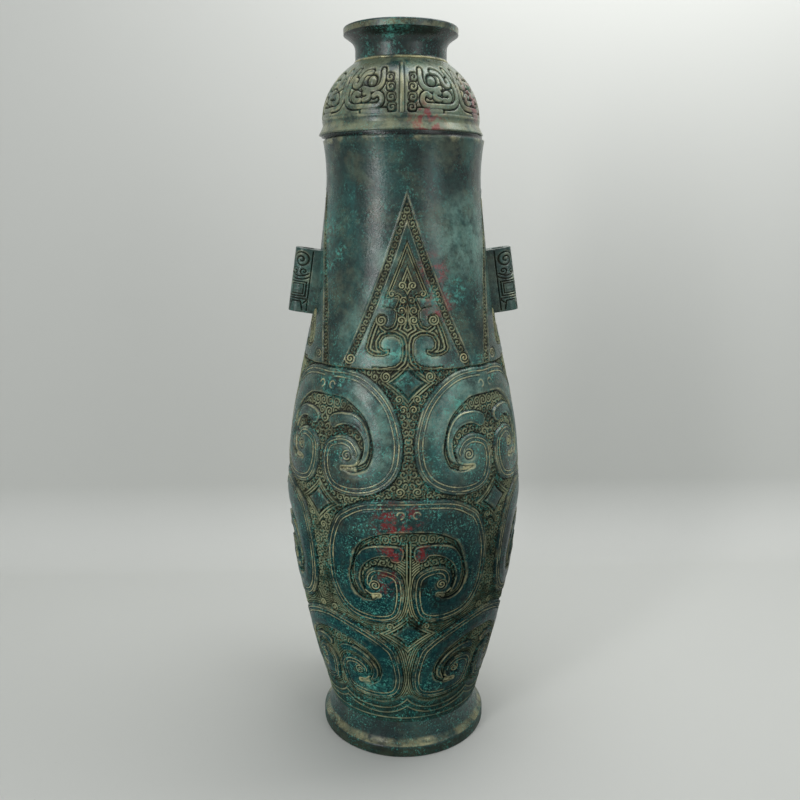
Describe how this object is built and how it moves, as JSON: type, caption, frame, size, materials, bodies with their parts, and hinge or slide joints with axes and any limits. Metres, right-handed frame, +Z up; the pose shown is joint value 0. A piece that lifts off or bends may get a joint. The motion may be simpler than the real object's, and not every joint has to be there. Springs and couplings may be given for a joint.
{
  "type": "bronze hu vessel",
  "caption": "Tall round bronze wine vessel with a pear-shaped body, ring foot, pierced side lugs for a cord and a loose domed lid with a flared crown.",
  "frame": {"origin": "centre of the ring foot's flat underside, on the surface the vessel stands on", "axes": "+Z up along the vessel's axis; -Y is the front that the picture shows; the lugs are on -X and +X"},
  "size_m": [0.1516, 0.1516, 0.45],
  "materials": {
    "body_bronze": "dark green patina, worn golden on the ridges",
    "foot_bronze": "brown patina, worn pale at the edge",
    "lid_bronze": "brown-green patina",
    "inner_bronze": "plain dark cast bronze"
  },
  "bodies": {
    "vessel": {"foot_ring": "foot_bronze", "floor_plate": "inner_bronze", "belly_shell": "body_bronze", "neck_shell": "body_bronze", "left_lug": "body_bronze", "right_lug": "body_bronze", "core_spacer_1": "inner_bronze", "core_spacer_2": "inner_bronze", "core_spacer_3": "inner_bronze", "core_spacer_4": "inner_bronze"},
    "lid": {"lid_tongue": "inner_bronze", "lid_dome": "lid_bronze", "lid_crown": "lid_bronze"}
  },
  "joints": [
    {"name": "lid_lift", "type": "slide", "parent": "vessel", "child": "lid", "axis": [0, 0, 1], "range_m": [0, 0.15]}
  ]
}
